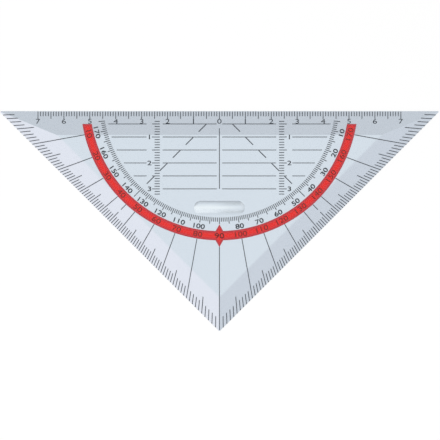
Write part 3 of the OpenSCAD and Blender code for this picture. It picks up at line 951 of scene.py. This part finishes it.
# In metres.
TABLE_R = 6
TABLE_SIDES = 96
TABLE_GAP = 0.05 * MM
TABLE_GLOW = 0.7
TABLE_PAINT = "9c9c9c"

table_body = bmesh.new()
bmesh.ops.create_circle(table_body, cap_ends=True, radius=TABLE_R, segments=TABLE_SIDES)
bmesh.ops.translate(table_body, verts=table_body.verts, vec=(0, 0, -TABLE_GAP))
table_mesh = bpy.data.meshes.new("table")
table_body.to_mesh(table_mesh)
table_body.free()
table = make_object("table", table_mesh)


def seen_rays(tree):
    """1 for rays from the camera, straight or by way of gloss or glass, and 0 for others."""
    ray = add_node(tree, "ShaderNodeLightPath").outputs
    direct = add_node(tree, "ShaderNodeMath", {0: ray["Is Camera Ray"], 1: ray["Is Glossy Ray"]},
                      operation="MAXIMUM")
    both = add_node(tree, "ShaderNodeMath", {0: direct.outputs[0], 1: ray["Is Transmission Ray"]},
                    operation="MAXIMUM")
    return both.outputs[0]


def white_paper():
    """Matte white that the camera sees as plain white, less a soft shadow."""
    material, tree = new_material("white paper")
    glow = add_node(tree, "ShaderNodeEmission", {"Color": to_linear(PURE_WHITE), "Strength": TABLE_GLOW})
    matte = add_node(tree, "ShaderNodeBsdfDiffuse", {"Color": to_linear(TABLE_PAINT)})
    lit = add_node(tree, "ShaderNodeAddShader", {0: glow.outputs[0], 1: matte.outputs[0]})
    paper = add_node(tree, "ShaderNodeBsdfDiffuse", {"Color": to_linear(PAPER_WHITE)})
    mix = add_node(tree, "ShaderNodeMixShader", {
        0: seen_rays(tree), 1: paper.outputs[0], 2: lit.outputs[0]})
    add_node(tree, "ShaderNodeOutputMaterial", {"Surface": mix.outputs[0]})
    return material


table_mesh.materials.append(white_paper())
print("Table radius:", TABLE_R, "m")

# %% [markdown]
# ## Light
# A white room lights the plate from all sides, and one large soft lamp at the lower left gives it
# a direction. Together they light a surface that faces up about as brightly as its colour is
# written. Gloss and glass see the room as white, and the lamp brighter still, so the lamp is kept
# small enough for its mirror image to stay clear of the left bevel, where the image's edge would
# show as a step.

# %% White room and soft lamp
# The lamp's size and place are in metres, its power in watts.
ROOM_LIGHT = 0.68
LAMP_SIZE = 1.3
LAMP_POWER = 7.5
LAMP_PLACE = Vector((-0.55, -0.75, 0.95))

world = bpy.data.worlds.new("white room")
bpy.context.scene.world = world
world.use_nodes = True
room = world.node_tree
room.nodes.clear()
lights = add_node(room, "ShaderNodeBackground", {"Color": to_linear(PURE_WHITE), "Strength": ROOM_LIGHT})
walls = add_node(room, "ShaderNodeBackground", {"Color": to_linear(PURE_WHITE), "Strength": 1})
room_mix = add_node(room, "ShaderNodeMixShader", {
    0: seen_rays(room), 1: lights.outputs[0], 2: walls.outputs[0]})
add_node(room, "ShaderNodeOutputWorld", {"Surface": room_mix.outputs[0]})

lamp_data = bpy.data.lights.new("soft lamp", "AREA")
lamp_data.size = LAMP_SIZE
lamp_data.energy = LAMP_POWER
lamp = make_object("soft lamp", lamp_data)
plate_middle = Vector((0, plate_low.y / 2, 0))
lamp.location = LAMP_PLACE
lamp.rotation_euler = (plate_middle - LAMP_PLACE).to_track_quat("-Z", "Y").to_euler()
print("Lamp distance:", round((plate_middle - LAMP_PLACE).length, 2), "m")

# %% [markdown]
# ## Camera
# The picture is taken from straight above, with the long edge level at the top. A long lens from
# two metres away keeps the plate's sides upright, as in a catalogue picture. The lens follows
# from the width of the view, the distance and the width of Blender's sensor.

# %% Camera above the plate
VIEW_WIDTH = 169.8 * MM
VIEW_MIDDLE = Vector((0.23 * MM, -42 * MM, 0))
CAMERA_HEIGHT = 2.0
FARTHEST_SEEN = 20
camera_data = bpy.data.cameras.new("camera")
camera_data.lens = camera_data.sensor_width * CAMERA_HEIGHT / VIEW_WIDTH
camera_data.clip_end = FARTHEST_SEEN
camera = make_object("camera", camera_data)
camera.location = VIEW_MIDDLE + Vector((0, 0, CAMERA_HEIGHT))
bpy.context.scene.camera = camera
bpy.context.scene.view_settings.view_transform = "Standard"
print("Lens:", round(camera_data.lens, 1), "mm")
